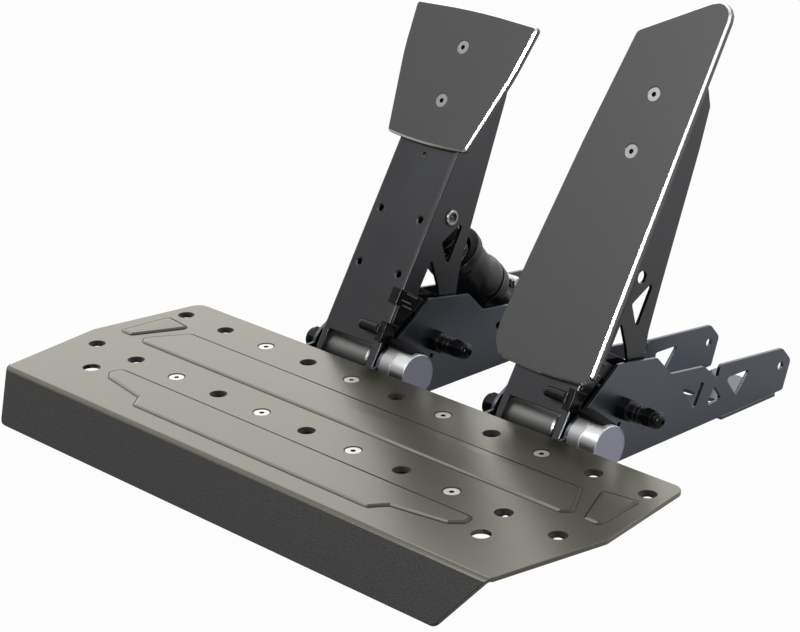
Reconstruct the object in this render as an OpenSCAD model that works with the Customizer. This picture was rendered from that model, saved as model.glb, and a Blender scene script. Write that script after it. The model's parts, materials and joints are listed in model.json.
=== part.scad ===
// Sim racing pedal set: a brake and a throttle module that stand under one folded heel plate.
// Inside the drawing y runs backwards from the heel plate's front hole row, z = 0 is the plate's top
// and x = 0 is the middle of the set. placed() moves all that onto the ground.

/* [Overall] */
// Distance between neighbouring holes of the heel plate, and a quarter of the module spacing
hole_pitch = 40; // [38:0.5:42]
// Thickness of the bent sheets of bases and arms
sheet = 2.5; // [2:0.1:3]
// Thickness of each module's floor plate
floor_t = 2.5; // [2:0.1:4]
// Depth of the bases below the heel plate's top
base_drop = 34; // [33:0.5:40]
// Radial play of turning and sliding fits
run_gap = 0.04; // [0.02:0.01:0.1]
// Radial play of the damper's rubber-bushed upper eye
eye_gap = 0.12; // [0.1:0.01:0.15]
// Gap between soft or bent pieces that touch on the real set
soft_gap = 0.3; // [0.2:0.05:0.5]

/* [Heel plate] */
// Sheet thickness of the heel plate
heel_t = 3; // [2.5:0.1:3.5]
// Width at the back edge
heel_back_w = 420; // [410:1:440]
// Largest width, at the two side corners
heel_mid_w = 444.8; // [442:0.2:460]
// Width at the front bend
heel_front_w = 418.4; // [400:0.2:430]
// Width at the bottom of the front lip
lip_w = 378.8; // [360:0.2:400]
// Back edge behind the front hole row
heel_back = 96.8; // [90:0.2:100]
// Side corners behind the front hole row
heel_mid = 14.8; // [5:0.2:25]
// Front bend ahead of the front hole row
heel_front = 65.6; // [60:0.2:70]
// How far the lip reaches forward of the bend
lip_out = 20.8; // [10:0.2:25]
// How far the lip hangs down
lip_drop = 27.5; // [20:0.5:30]
// Distance between the two hole rows
row_gap = 75.6; // [72:0.2:78]
// Radius of the M5 clearance holes
m5_hole_r = 2.75; // [2.6:0.05:3]
// Radius of the M5 screws
m5_r = 2.5; // [2.5:0.05:2.5]
// Outer radius of the countersinks
sink_r = 5.05; // [4.8:0.05:5.5]
// Radius of the countersunk heads
head_r = 4.6; // [4.2:0.05:4.7]
// Radius of the two plain corner holes
corner_hole_r = 5.65; // [5:0.05:6]
// Sideways place of the plain corner holes
corner_hole_x = 169.6; // [165:0.2:175]
// Place of the plain corner holes ahead of the front row
corner_hole_y = 28.4; // [24:0.2:32]
// Height of the raised fields
field_h = 1; // [0.5:0.1:1.5]

/* [Base] */
// Outer width of a module over its side plates
base_w = 61.8; // [60:0.2:66]
// Length of the base ahead of the front hole row
base_front = 20; // [15:1:30]
// Reach of the side plates' screw flanges past their inner faces
flange_reach = 21; // [18:0.5:24]
// Rear end of the floor plate
floor_end = 323; // [318:1:326]
// Half width of the floor plate between its feet
floor_half = 24; // [22:0.5:26]
// Radius of the free hole at the rear of the side plates
rear_hole_r = 2.8; // [2.5:0.05:3.2]
// Distance between the mounting slots across
slot_x = 22; // [18:1:24]
// Distance between the mounting slots lengthwise
slot_y = 271; // [260:1:275]
// Place of the rear mounting slots
slot_back = 276; // [274:1:280]
// Overall length of a mounting slot
slot_len = 12; // [10:0.5:14]
// Half width of a mounting slot
slot_r = 3.3; // [2.7:0.05:3.5]

/* [Pivot] */
// Pivot behind the front hole row
pivot_y = 120.9; // [118:0.1:124]
// Pivot below the heel plate's top
pivot_drop = 7; // [5:0.1:9]
// Radius of the axle
axle_r = 5; // [4.5:0.1:6]
// Radius of the clamping sleeve on the axle
sleeve_r = 10; // [9:0.1:11]
// Outer radius of the plain bushings
bush_r = 7; // [6.5:0.1:7.5]
// Radius of the bushings' collars
bush_collar_r = 9; // [8:0.1:9.2]
// Radius of the side plates' round nose and of the arms' nose
nose_r = 13.5; // [12:0.1:13.6]
// Radius of the sensor housing
housing_r = 14.3; // [14:0.1:15]
// Length of the sensor housing
housing_len = 22.6; // [20:0.2:24]
// Radius of the gland's body
gland_r = 5.2; // [4.5:0.1:6]
// Radius of the gland's mounting thread
gland_thread_r = 4; // [3.5:0.1:4.5]

/* [Pedal arms] */
// Lean of the arms from upright
lean = 31.4; // [28:0.1:34]
// Front face of the arms at the height of the heel plate's top
arm_y = 109; // [108:0.1:110]
// Outer width of the arm channel
arm_w = 53; // [52:0.1:53.2]
// Length of the arms above that point
arm_len = 228; // [220:1:236]
// Half width of the window round the sleeve
window_half = 20.7; // [19:0.1:21.5]
// Radius of the free holes in the arms' faces
face_hole_r = 2.9; // [2.5:0.05:3.2]
// Radius of the cross hole that carries the brake's damper
cross_r = 4; // [3.5:0.1:4.5]
// Place of the cross hole along the arm
cross_s = 104.2; // [100:0.1:108]
// Place of the cross hole behind the arm's face
cross_d = 18; // [16:0.1:20]

/* [Pedal plates] */
// Thickness of the pedal plates
pad_t = 4.5; // [3:0.1:6]
// Upper plate screw below the arm's upper end
screw_drop_top = 17.8; // [14:0.2:28]
// Lower plate screw below the arm's upper end
screw_drop_low = 55.2; // [48:0.2:63]

/* [Damper] */
// Distance between the damper's eye and its lower pin
damper_len = 119.5; // [117:0.1:122]
// Dip of the damper towards the back
damper_dip = 51.4; // [50:0.1:53]
// Radius of the damper's body
body_r = 20.2; // [20:0.1:21]
// Radius of the damper's rod
rod_r = 4; // [3.5:0.1:5]
// Mean radius of the damper's spring
spring_r = 10; // [9:0.1:11]
// Radius of the damper spring's wire
wire_r = 1.1; // [1:0.05:1.2]
// Curls of the damper's spring
spring_curls = 7; // [6:1:7]
// Mean radius of the throttle's return spring
return_r = 7.5; // [7:0.1:8.5]
// Radius of the return spring's wire
return_wire_r = 0.9; // [0.7:0.05:1]
// Curls of the return spring
return_curls = 6; // [5:1:7]

/* [Hidden] */
$fn = 48;
brake_x = -2 * hole_pitch;
throttle_x = 2 * hole_pitch;
base_end = 331.3;
rear_reach = 330.68;
origin_y = (rear_reach - heel_front - lip_out) / 2;
ground = base_drop + floor_t;
base_in = base_w / 2 - sheet;
base_out = base_w / 2;
arm_out = arm_w / 2;
arm_in = arm_out - sheet;
plate_screws = [arm_len - screw_drop_low, arm_len - screw_drop_top];
lip_len = norm([lip_out, lip_drop]);
lip_tilt = atan(lip_drop / lip_out);
cross_y = arm_y + cross_s * sin(lean) + cross_d * cos(lean);
cross_z = cross_s * cos(lean) - cross_d * sin(lean);
pin_y = cross_y + damper_len * cos(damper_dip);
pin_z = cross_z - damper_len * sin(damper_dip);
stop_s = -18;
stop_d = 18;
stop_r = 4;
stop_y = arm_y + stop_s * sin(lean) + (stop_d + stop_r + soft_gap) * cos(lean);
stop_z = stop_s * cos(lean) - (stop_d + stop_r + soft_gap) * sin(lean);
pivot_d = (pivot_y - arm_y) * cos(lean) + pivot_drop * sin(lean);
pivot_s = (pivot_y - arm_y) * sin(lean) - pivot_drop * cos(lean);
return_y = 162;
return_top = -6.6;
bar_z = -2;
tab_w = 16;
bracket_in = 12;
bracket_t = 3;
seat_u = 28;
seat_t = 2;
cup_u = 44.6;
floor_u = 56;
piston_u = 59.2;
shell_end = 83;
ring_end = 91;
ring_r = 22;
cell_len = 17;
cell_r = 11;
block_r = 16;
block_end = 110;
plug_r = 4.4;

// Helpers
function unit(v) = v / norm(v);
function arc_points(c, r, a0, sweep, n) =
  [for (k = [0:n]) c + r * [cos(a0 + sweep * k / n), sin(a0 + sweep * k / n)]];
function corner_sweep(a0, a1) = (a1 - a0 + 540) % 360 - 180;
function corner_at(p, q, w, r, n) =
  let (u1 = unit(p - q), u2 = unit(w - q), half = acos(u1 * u2) / 2,
    c = q + unit(u1 + u2) * r / sin(half), t = r / tan(half),
    s1 = q + u1 * t - c, s2 = q + u2 * t - c,
    a0 = atan2(s1[1], s1[0]), a1 = atan2(s2[1], s2[0]))
  arc_points(c, r, a0, corner_sweep(a0, a1), n);
function xy(p) = [p[0], p[1]];
// Corner points [x, y, radius] become an outline with rounded corners
function rounded(pts, n = 5) = [for (i = [0:len(pts) - 1])
  let (m = len(pts), q = pts[i])
  each (q[2] > 0 ? corner_at(xy(pts[(i + m - 1) % m]), xy(q), xy(pts[(i + 1) % m]), q[2], n)
    : [xy(q)])];
function mirrored(pts) = concat(pts, [for (i = [len(pts) - 1:-1:0]) [-pts[i][0], pts[i][1], pts[i][2]]]);

module placed() translate([0, -origin_y, ground]) children();
module at_brake() placed() translate([brake_x, 0, 0]) children();
module at_throttle() placed() translate([throttle_x, 0, 0]) children();
module across(x0, x1) translate([x0, 0, 0]) rotate([90, 0, 90]) linear_extrude(height = x1 - x0) children();
module rod_x(x0, x1, r, y = 0, z = 0) translate([x0, y, z]) rotate([0, 90, 0]) cylinder(r = r, h = x1 - x0);
module box(a, b) translate(a) cube(b - a);
// x, d (behind the arm's face) and s (up along it)
module arm_frame() translate([0, arm_y, 0]) rotate([-lean, 0, 0]) children();
// z runs from the damper's eye down its rod
module damper_frame() translate([0, cross_y, cross_z]) rotate([-90 - damper_dip, 0, 0]) children();
module hex_nut(h, across_flats, bore) difference() {
  cylinder(r = across_flats / sqrt(3), h = h, $fn = 6);
  translate([0, 0, -1]) cylinder(r = bore, h = h + 2);
}
// Countersunk screw: top of its head at z = 0, pointing down
module sunk_screw(len, r = m5_r, head = head_r, socket = 1.5) difference() {
  union() {
    translate([0, 0, r - head]) cylinder(r1 = r, r2 = head, h = head - r);
    translate([0, 0, -len]) cylinder(r = r, h = len - 0.5);
  }
  translate([0, 0, -1.6]) cylinder(r = socket / cos(30), h = 2, $fn = 6);
}
module sink(depth, r = m5_hole_r, top = sink_r) {
  translate([0, 0, -depth - 1]) cylinder(r = r, h = depth + 2);
  translate([0, 0, r - top]) cylinder(r1 = r, r2 = top, h = top - r);
  cylinder(r = top, h = 5);
}
// One unbroken wire wound as a spring, from the z of its lower to that of its upper end
module coil(radius, wire, curls, z0, z1, steps = 16, sides = 6) {
  n = curls * steps;
  rise = (z1 - z0 - 2 * wire) / n;
  rings = [for (k = [0:n]) [for (j = [0:sides - 1])
    let (a = 360 * k / steps, b = 360 * j / sides, rr = radius + wire * cos(b))
    [rr * cos(a), rr * sin(a), z0 + wire + rise * k + wire * sin(b)]]];
  centres = [for (k = [0:n]) [radius * cos(360 * k / steps), radius * sin(360 * k / steps), rise * k]];
  echo(least_gap_between_curls = min([for (k = [0:n]) for (m = [k + steps - 3:k + steps + 3])
    if (m <= n) norm(centres[m] - centres[k])]) - 2 * wire);
  pts = [for (ring = rings) each ring];
  walls = [for (k = [0:n - 1]) for (j = [0:sides - 1])
    [k * sides + j, (k + 1) * sides + j, (k + 1) * sides + (j + 1) % sides, k * sides + (j + 1) % sides]];
  low_end = [for (j = [0:sides - 1]) j];
  high_end = [for (j = [sides - 1:-1:0]) n * sides + j];
  polyhedron(points = pts, faces = concat([low_end], walls, [high_end]), convexity = 6);
}

// Heel plate
field_front = [[152, -18, 3], [153.5, -25, 2], [147, -31, 2], [109, -38, 2], [101.5, -48.2, 2]];
field_back = [[169, 53.5, 2], [185, 28, 2], [180, 23.5, 2]];
field_corner = [[181, 60, 2], [203, 63, 2], [206.5, 26.5, 2], [197, 26.5, 2]];

module heel_outline() polygon(rounded(mirrored([[heel_back_w / 2, heel_back, 8],
  [heel_mid_w / 2, heel_mid, 8], [heel_front_w / 2, -heel_front, 0],
  [heel_front_w / 2 - 12, -heel_front - 20, 0]])));
module lip_outline() polygon(rounded(mirrored([[heel_front_w / 2 + 3, 6, 0],
  [heel_front_w / 2, 0, 0], [lip_w / 2, -lip_len, 6]])));
module heel_side() polygon(rounded([[heel_back + 5, 0, 0], [-heel_front, 0, 5],
  [-heel_front - lip_out, -lip_drop, 0],
  [-heel_front - lip_out + heel_t * sin(lip_tilt), -lip_drop - heel_t * cos(lip_tilt), 0],
  [-heel_front + heel_t * tan(lip_tilt / 2), -heel_t, 2], [heel_back + 5, -heel_t, 0]]));

module heel_plate() placed() color([0.55, 0.53, 0.49]) difference() {
  union() {
    intersection() {
      across(-heel_mid_w / 2 - 5, heel_mid_w / 2 + 5) heel_side();
      union() {
        intersection() {
          translate([0, 0, -heel_t - 1]) linear_extrude(height = heel_t + 2) heel_outline();
          box([-300, -heel_front + 3, -10], [300, 200, 10]);
        }
        intersection() {
          translate([0, -heel_front, 0]) rotate([lip_tilt, 0, 0]) translate([0, 0, -heel_t - 4])
            linear_extrude(height = heel_t + 8) lip_outline();
          box([-300, -200, -60], [300, -heel_front + 3, 10]);
        }
      }
    }
    translate([0, 0, -0.5]) linear_extrude(height = field_h + 0.5) {
      polygon(rounded(mirrored(field_front)));
      polygon(rounded(mirrored(field_back)));
      polygon(rounded(field_corner));
      mirror([1, 0]) polygon(rounded(field_corner));
    }
  }
  for (i = [-5:5], j = [0, 1]) translate([i * hole_pitch, j * row_gap, 0]) sink(heel_t);
  for (s = [-1, 1]) translate([s * corner_hole_x, -corner_hole_y, -heel_t - 1])
    cylinder(r = corner_hole_r, h = heel_t + 5);
}
module at_heel_screws() for (m = [brake_x, throttle_x], s = [-1, 1], j = [0, 1])
  translate([m + s * hole_pitch, j * row_gap, 0]) children();
module heel_plate_screws() placed() color([0.85, 0.84, 0.8]) at_heel_screws()
  translate([0, 0, head_r - sink_r]) sunk_screw(heel_t + sheet + 4.5);
module heel_plate_nuts() placed() color([0.6, 0.6, 0.6]) at_heel_screws()
  translate([0, 0, -heel_t - sheet - 4]) hex_nut(4, 8, m5_r);

// Base
module side_outline() {
  polygon(rounded([[-base_front, -base_drop, 3], [-base_front, -heel_t, 0], [pivot_y - 6.3, -heel_t, 0],
    [pivot_y - 6.3, 4.9, 0], [127, 11.5, 6], [154.5, 31, 4], [191.5, 25, 4], [205.8, 10.4, 4], [239, 6.1, 4],
    [253.4, -6, 1], [255.7, 2.5, 3], [321.8, -4.2, 5], [base_end, -14.6, 4], [324, -base_drop, 2]]));
  translate([pivot_y, -pivot_drop]) circle(r = nose_r);
}
module side_cutouts() {
  polygon(rounded([[215.9, -1.9, 2], [239.9, -4.7, 1.5], [230.5, -21, 2]]));
  polygon(rounded([[250.3, -10.4, 1], [242.6, -22.1, 2], [258.3, -21.4, 1.5]]));
  polygon(rounded([[261.6, -8.3, 2], [287.2, -9.2, 1.5], [273.8, -23.9, 2]]));
}
module base_side() color([0.29, 0.31, 0.35]) difference() {
  union() {
    across(base_in, base_out) difference() {
      side_outline();
      side_cutouts();
    }
    box([base_in, -base_front + 2, -heel_t - sheet], [base_in + flange_reach, heel_back - 2, -heel_t]);
    for (y = [20, 165]) box([base_in - tab_w, y, -base_drop], [base_in + 0.5, y + 30, -base_drop + sheet]);
  }
  rod_x(base_in - 1, base_out + 1, bush_r, pivot_y, -pivot_drop);
  rod_x(base_in - 1, base_out + 1, rear_hole_r, 320.3, -16.3);
  rod_x(base_in - 1, base_out + 1, m5_hole_r, stop_y, stop_z);
  for (j = [0, 1]) translate([hole_pitch, j * row_gap, -heel_t - sheet - 1])
    cylinder(r = m5_hole_r, h = sheet + 2);
  for (y = [35, 180]) translate([base_in - tab_w / 2, y, -base_drop - 1]) cylinder(r = m5_r, h = sheet + 2);
}
module at_sensor_screws() for (a = [60, 180, 300])
  translate([0, pivot_y + 11.6 * cos(a), -pivot_drop + 11.6 * sin(a)]) children();
// The right plate also carries the sensor housing and the gland
module base_side_right() color([0.29, 0.31, 0.35]) difference() {
  base_side();
  rod_x(base_in - 1, base_out + 1, gland_thread_r, 160, 0.7);
  rod_x(base_in - 1, base_out + 1, 1.5, 156.6, -8.9);
  at_sensor_screws() rod_x(base_in - 1, base_out + 1, 1.6);
}
module at_floor_screws() for (s = [-1, 1], y = [35, 180])
  translate([s * (base_in - tab_w / 2), y, -ground]) children();
module at_bracket_screws() for (s = [-1, 1], y = [-9, 9]) translate([s * 19.5, pin_y + y, -ground]) children();
module floor_plate(bracket) color([0.62, 0.6, 0.55]) difference() {
  union() {
    box([-floor_half, -base_front + 5, -ground], [floor_half, floor_end, -base_drop]);
    box([-base_out, 10, -ground], [base_out, 70, -base_drop]);
    box([-base_out, 259, -ground], [base_out, 316, -base_drop]);
  }
  for (s = [-1, 1], y = [slot_back - slot_y, slot_back]) translate([s * slot_x / 2, y, -ground - 1]) {
    for (e = [-1, 1]) translate([e * (slot_len / 2 - slot_r), 0, 0]) cylinder(r = slot_r, h = floor_t + 2);
    box([-slot_len / 2 + slot_r, -slot_r, 0], [slot_len / 2 - slot_r, slot_r, floor_t + 2]);
  }
  at_floor_screws() mirror([0, 0, 1]) sink(floor_t);
  if (bracket) at_bracket_screws() mirror([0, 0, 1]) sink(floor_t);
}
module floor_screws() color([0.2, 0.2, 0.2]) at_floor_screws()
  translate([0, 0, sink_r - head_r]) mirror([0, 0, 1]) sunk_screw(6);
module rest_bar() color([0.5, 0.5, 0.5]) difference() {
  rod_x(-base_in, base_in, stop_r, stop_y, stop_z);
  for (s = [0, 1]) mirror([s, 0, 0]) rod_x(base_in - 10, base_in + 1, m5_r, stop_y, stop_z);
}
module rest_bar_screws() color([0.2, 0.2, 0.2]) for (s = [0, 1]) mirror([s, 0, 0]) difference() {
  union() {
    rod_x(base_out, base_out + 2.6, 4.4, stop_y, stop_z);
    rod_x(base_in - 9, base_out + 1, m5_r, stop_y, stop_z);
  }
  translate([base_out + 1.2, stop_y, stop_z]) rotate([0, 90, 0]) cylinder(r = 1.7, h = 3, $fn = 6);
}

// Pivot
module axle_bushings() color([0.25, 0.22, 0.15]) for (s = [0, 1]) mirror([s, 0, 0]) difference() {
  union() {
    rod_x(base_in, base_out, bush_r, pivot_y, -pivot_drop);
    rod_x(arm_out + 0.1, base_in, bush_collar_r, pivot_y, -pivot_drop);
  }
  rod_x(arm_out - 1, base_out + 1, axle_r + run_gap, pivot_y, -pivot_drop);
}
module axle() color([0.7, 0.7, 0.7]) difference() {
  union() {
    rod_x(-base_out - 13, base_out + 3.6, axle_r, pivot_y, -pivot_drop);
    rod_x(16, arm_in, 7, pivot_y, -pivot_drop);
  }
  rod_x(base_out + 1.6, base_out + 5, 3, pivot_y, -pivot_drop);
}
module axle_sleeve() color([0.45, 0.45, 0.45]) difference() {
  union() {
    rod_x(-arm_in, 15, sleeve_r, pivot_y, -pivot_drop);
    translate([15, pivot_y, -pivot_drop]) rotate([0, 90, 0]) cylinder(r1 = sleeve_r, r2 = sleeve_r - 1, h = 1);
  }
  rod_x(-arm_in - 1, 17, axle_r, pivot_y, -pivot_drop);
}
module axle_nut() color([0.08, 0.08, 0.09]) difference() {
  union() {
    rod_x(-base_out - 2, -base_out - 0.1, 9, pivot_y, -pivot_drop);
    translate([-base_out - 10, pivot_y, -pivot_drop]) rotate([0, 90, 0]) cylinder(r = 8.8, h = 8.2, $fn = 6);
    rod_x(-base_out - 13.2, -base_out - 9.9, 7, pivot_y, -pivot_drop);
  }
  rod_x(-base_out - 13, -base_out + 1, axle_r, pivot_y, -pivot_drop);
}
module sensor_housing() color([0.75, 0.75, 0.73]) difference() {
  union() {
    rod_x(base_out, base_out + 10.1, housing_r - 0.3, pivot_y, -pivot_drop);
    rod_x(base_out + 10.1, base_out + housing_len, housing_r, pivot_y, -pivot_drop);
  }
  rod_x(base_out - 1, base_out + housing_len - 2, 9, pivot_y, -pivot_drop);
  rod_x(base_out + housing_len - 2.1, base_out + housing_len + 1, housing_r - 1.2, pivot_y, -pivot_drop);
  at_sensor_screws() rod_x(base_out - 1, base_out + 8, 1.25);
}
module sensor_cap() color([0.46, 0.46, 0.52])
  rod_x(base_out + housing_len - 2, base_out + housing_len, housing_r - 1.2, pivot_y, -pivot_drop);
module sensor_board() color([0.1, 0.3, 0.15]) {
  rod_x(base_out + 8, base_out + 9.6, 9, pivot_y, -pivot_drop);
  box([base_out + 6.8, pivot_y - 2.5, -pivot_drop - 2.5], [base_out + 8, pivot_y + 2.5, -pivot_drop + 2.5]);
}
module sensor_magnet() color([0.8, 0.8, 0.8]) rod_x(base_out + 1.6, base_out + 4.6, 3, pivot_y, -pivot_drop);
module sensor_screws() color([0.6, 0.6, 0.6]) at_sensor_screws() rod_x(base_in + 0.2, base_out + 7, 1.25);
module cable_gland() color([0.05, 0.05, 0.06]) {
  rod_x(base_in, base_out, gland_thread_r, 160, 0.7);
  translate([base_out, 160, 0.7]) rotate([0, 90, 0]) cylinder(r = 7.8, h = 5, $fn = 6);
  rod_x(base_out + 5, base_out + 24, gland_r, 160, 0.7);
  translate([base_out + 19, 160, 0.7]) rotate([0, 90, 0]) cylinder(r = 6.4, h = 6, $fn = 6);
  rod_x(base_out + 25, base_out + 28, gland_r, 160, 0.7);
  translate([base_out + 28, 160, 0.7]) rotate([0, 90, 0]) cylinder(r1 = gland_r, r2 = 3, h = 3);
}

// Arms
module flange_outline() difference() {
  polygon(rounded([[0, -12, 9], [5, -14.5, 1], [6, stop_s - 4, 2], [stop_d, stop_s - 4, 3],
    [stop_d, -12, 2], [34, 8, 12], [52, 22, 7], [55, 44, 8], [50, 61.7, 8], [44.5, 77, 8], [39, 105.8, 8],
    [24.3, 189.5, 8], [18.3, 216, 4], [9.9, 224.7, 3], [0, arm_len, 1]]));
  polygon(rounded([[28.6, 103, 1], [18.6, 86.8, 1.5], [32, 74.6, 1.5], [31.2, 101.5, 1]]));
  polygon(rounded([[15.4, 74, 1], [29.6, 61.6, 4], [38.5, 51.5, 6], [37, 36, 5], [15, 32, 4]]));
}
module arm() color([0.26, 0.27, 0.29]) arm_frame() difference() {
  intersection() {
    across(-arm_out, arm_out) flange_outline();
    translate([0, 0, -40]) linear_extrude(height = arm_len + 60) polygon(rounded([[-arm_out, 0, 2.2],
      [arm_out, 0, 2.2], [arm_out, 70, 0], [arm_in, 70, 0], [arm_in, sheet, 0.6], [-arm_in, sheet, 0.6],
      [-arm_in, 70, 0], [-arm_out, 70, 0]]));
  }
  box([-window_half, -1, -40], [window_half, sheet + 1, 9]);
  rod_x(-arm_out - 1, arm_out + 1, axle_r, pivot_d, pivot_s);
  rod_x(-arm_out - 1, arm_out + 1, cross_r, cross_d, cross_s);
  for (s = [-18, 18], z = [56.8, 94.5]) translate([s, -1, z]) rotate([-90, 0, 0])
    cylinder(r = face_hole_r, h = 6);
  translate([0, -1, 136.3]) rotate([-90, 0, 0]) cylinder(r = 1.5, h = 6);
  for (z = plate_screws) translate([0, -1, z]) rotate([-90, 0, 0]) cylinder(r = m5_hole_r, h = 6);
}
module pad_holes() for (z = plate_screws)
  translate([0, -pad_t, z]) rotate([90, 0, 0]) sink(pad_t);
module brake_pedal_plate() at_brake() color([0.3, 0.3, 0.29]) arm_frame() difference() {
  rotate([90, 0, 0]) linear_extrude(height = pad_t) polygon(rounded([[-54, 234.3, 3], [0, 237, 650],
    [54, 234.3, 3], [49.2, 200, 150], [35.2, 144.2, 3], [0, 141.2, 320], [-35.2, 144.2, 3],
    [-49.2, 200, 150]]));
  pad_holes();
}
module throttle_pedal_plate() at_throttle() color([0.3, 0.3, 0.29]) arm_frame() difference() {
  rotate([90, 0, 0]) linear_extrude(height = pad_t) polygon(rounded([[32.6, 282.9, 11], [-31, 247.1, 5],
    [-38.6, 173, 150], [-44.6, 92, 150], [-46.4, 50, 40], [-44.6, 29.4, 7], [0, 26.8, 300], [36, 29.4, 4]]));
  pad_holes();
}
module pad_screws() color([0.6, 0.6, 0.58]) arm_frame() for (z = plate_screws)
  translate([0, -pad_t + sink_r - head_r, z]) rotate([90, 0, 0]) sunk_screw(pad_t + sheet + 4);
module pad_nuts() color([0.6, 0.6, 0.6]) arm_frame() for (z = plate_screws)
  translate([0, sheet, z]) rotate([-90, 0, 0]) hex_nut(4, 8, m5_r);
// Black pieces on the arm's right front edge
module edge_peg() color([0.05, 0.05, 0.06]) arm_frame() {
  box([22.4, -3.8, 12], [base_in - soft_gap, 0, 25.5]);
  box([arm_out, -3.8, 12], [base_in - soft_gap, 7, 25.5]);
  rod_x(9.5, 23, 3.5, -3.8, 19);
  translate([9.5, -3.8, 19]) sphere(r = 3.5);
}
module edge_pad(front) color([0.05, 0.05, 0.06]) arm_frame() difference() {
  union() {
    if (front > 0) box([20.5, -front, 38], [base_in - soft_gap, 0, 48.5]);
    box([arm_out, -front, 38], [base_in - soft_gap, 16, 48.5]);
    across(arm_out, base_in - soft_gap) polygon([[1, 26], [8.5, 26], [16, 38.5], [1, 38.5]]);
    across(arm_in - 0.1, base_in - soft_gap) polygon([[15.2, 38], [36, 40], [36, 47], [15.2, 48.5]]);
    across(arm_in - 3, arm_in) polygon(rounded([[4, 34, 2], [4, 55, 2], [42, 55, 2], [42, 36, 2]]));
  }
  rod_x(arm_in - 5, base_in, 1.25, 24.3, 43.5);
}

// Damper of the brake
module damper_bolt() color([0.75, 0.75, 0.75]) arm_frame() difference() {
  union() {
    rod_x(-arm_out - 5.5, arm_out + 1, cross_r, cross_d, cross_s);
    rod_x(arm_out, arm_out + 1.4, 5.6, cross_d, cross_s);
  }
  translate([arm_out - 1.5, cross_d, cross_s]) rotate([0, 90, 0]) cylinder(r = 2.4, h = 5, $fn = 6);
}
module damper_bolt_nut() color([0.3, 0.3, 0.3]) arm_frame() {
  translate([-arm_out, cross_d, cross_s]) rotate([0, -90, 0]) hex_nut(5, 12, cross_r);
}
module damper_rod() color([0.6, 0.6, 0.6]) damper_frame() difference() {
  union() {
    rod_x(-arm_in + 0.2, arm_in - 0.2, 6.5);
    rod_x(-7, 7, 9);
    cylinder(r = rod_r, h = piston_u + 4);
    translate([0, 0, seat_u]) cylinder(r = spring_r + 3, h = seat_t);
    translate([0, 0, piston_u]) cylinder(r = 14, h = 4);
  }
  rod_x(-arm_in - 1, arm_in + 1, cross_r + eye_gap);
}
module damper_spring() color([0.3, 0.3, 0.32]) damper_frame()
  coil(spring_r, wire_r, spring_curls, seat_u + seat_t + 0.05, floor_u - 0.05);
module damper_body() color([0.07, 0.07, 0.08]) damper_frame() difference() {
  rotate_extrude() polygon([[0, cup_u], [body_r - 0.8, cup_u], [body_r, cup_u + 0.8], [body_r, cup_u + 6],
    [body_r - 1.9, cup_u + 12], [body_r - 1.9, cup_u + 25], [body_r + 1.3, cup_u + 34],
    [body_r + 1.3, shell_end - 1], [body_r, shell_end - 1], [body_r, shell_end], [0, shell_end]]);
  translate([0, 0, cup_u - 1]) cylinder(r = spring_r + 4, h = floor_u - cup_u + 1);
  translate([0, 0, floor_u - 1]) cylinder(r = rod_r + run_gap, h = 10);
  translate([0, 0, floor_u + 3]) cylinder(r = 15.5, h = shell_end - floor_u);
}
module damper_rubbers() color([0.5, 0.1, 0.05]) damper_frame() for (k = [0:2])
  translate([0, 0, piston_u + 4.1 + k * 8.2]) difference() {
    cylinder(r = 14, h = 8.1);
    translate([0, 0, -1]) cylinder(r = 4, h = 40);
  }
module damper_ring() color([0.15, 0.15, 0.15]) damper_frame() difference() {
  translate([0, 0, shell_end]) cylinder(r = ring_r, h = ring_end - shell_end);
  translate([0, 0, shell_end - 1]) cylinder(r = 15.5, h = 6);
}
// The cell's plug lies across the back of its holder
module load_cell_plug() translate([0, -block_r - plug_r, ring_end + cell_len - 3]) {
  rod_x(-1, 10, plug_r);
  rod_x(10, 12, plug_r - 0.8);
}
module load_cell() color([0.7, 0.7, 0.7]) damper_frame() {
  translate([0, 0, ring_end]) cylinder(r = cell_r, h = cell_len);
  translate([3, 0, ring_end + cell_len - 3]) rotate([90, 0, 0]) cylinder(r = 2.5, h = block_r + plug_r);
  load_cell_plug();
}
module load_cell_block() color([0.05, 0.05, 0.06]) damper_frame() difference() {
  union() {
    translate([0, 0, ring_end]) cylinder(r = block_r, h = block_end - ring_end);
    box([-bracket_in + soft_gap, -11, block_end - 2], [bracket_in - soft_gap, 11, damper_len]);
    rod_x(-bracket_in + soft_gap, bracket_in - soft_gap, 11, 0, damper_len);
  }
  translate([3, 0, ring_end + cell_len - 3]) rotate([90, 0, 0]) cylinder(r = 2.5, h = 30);
  translate([0, 0, ring_end - 1]) cylinder(r = cell_r, h = cell_len + 1);
  rod_x(-20, 20, cross_r + run_gap, 0, damper_len);
}
module damper_pin() color([0.75, 0.75, 0.75]) {
  rod_x(-bracket_in - bracket_t, bracket_in + bracket_t, cross_r, pin_y, pin_z);
  rod_x(bracket_in + bracket_t, bracket_in + bracket_t + 3, 6.5, pin_y, pin_z);
  translate([-bracket_in - bracket_t - 4, pin_y, pin_z]) rotate([0, 90, 0]) cylinder(r = 7, h = 4, $fn = 6);
}
module damper_bracket() color([0.25, 0.25, 0.27]) difference() {
  union() {
    box([-24, pin_y - 15, -base_drop], [24, pin_y + 15, -base_drop + bracket_t]);
    for (s = [0, 1]) mirror([s, 0, 0]) across(bracket_in, bracket_in + bracket_t) {
      polygon([[pin_y - 15, -base_drop], [pin_y + 15, -base_drop], [pin_y + 8.5, pin_z], [pin_y - 8.5, pin_z]]);
      translate([pin_y, pin_z]) circle(r = 8.5);
    }
  }
  rod_x(-20, 20, cross_r, pin_y, pin_z);
  for (s = [-1, 1], y = [-9, 9]) translate([s * 19.5, pin_y + y, -base_drop - 1]) cylinder(r = m5_r, h = 10);
}
module bracket_screws() color([0.2, 0.2, 0.2]) at_bracket_screws()
  translate([0, 0, sink_r - head_r]) mirror([0, 0, 1]) sunk_screw(6.5);

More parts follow.
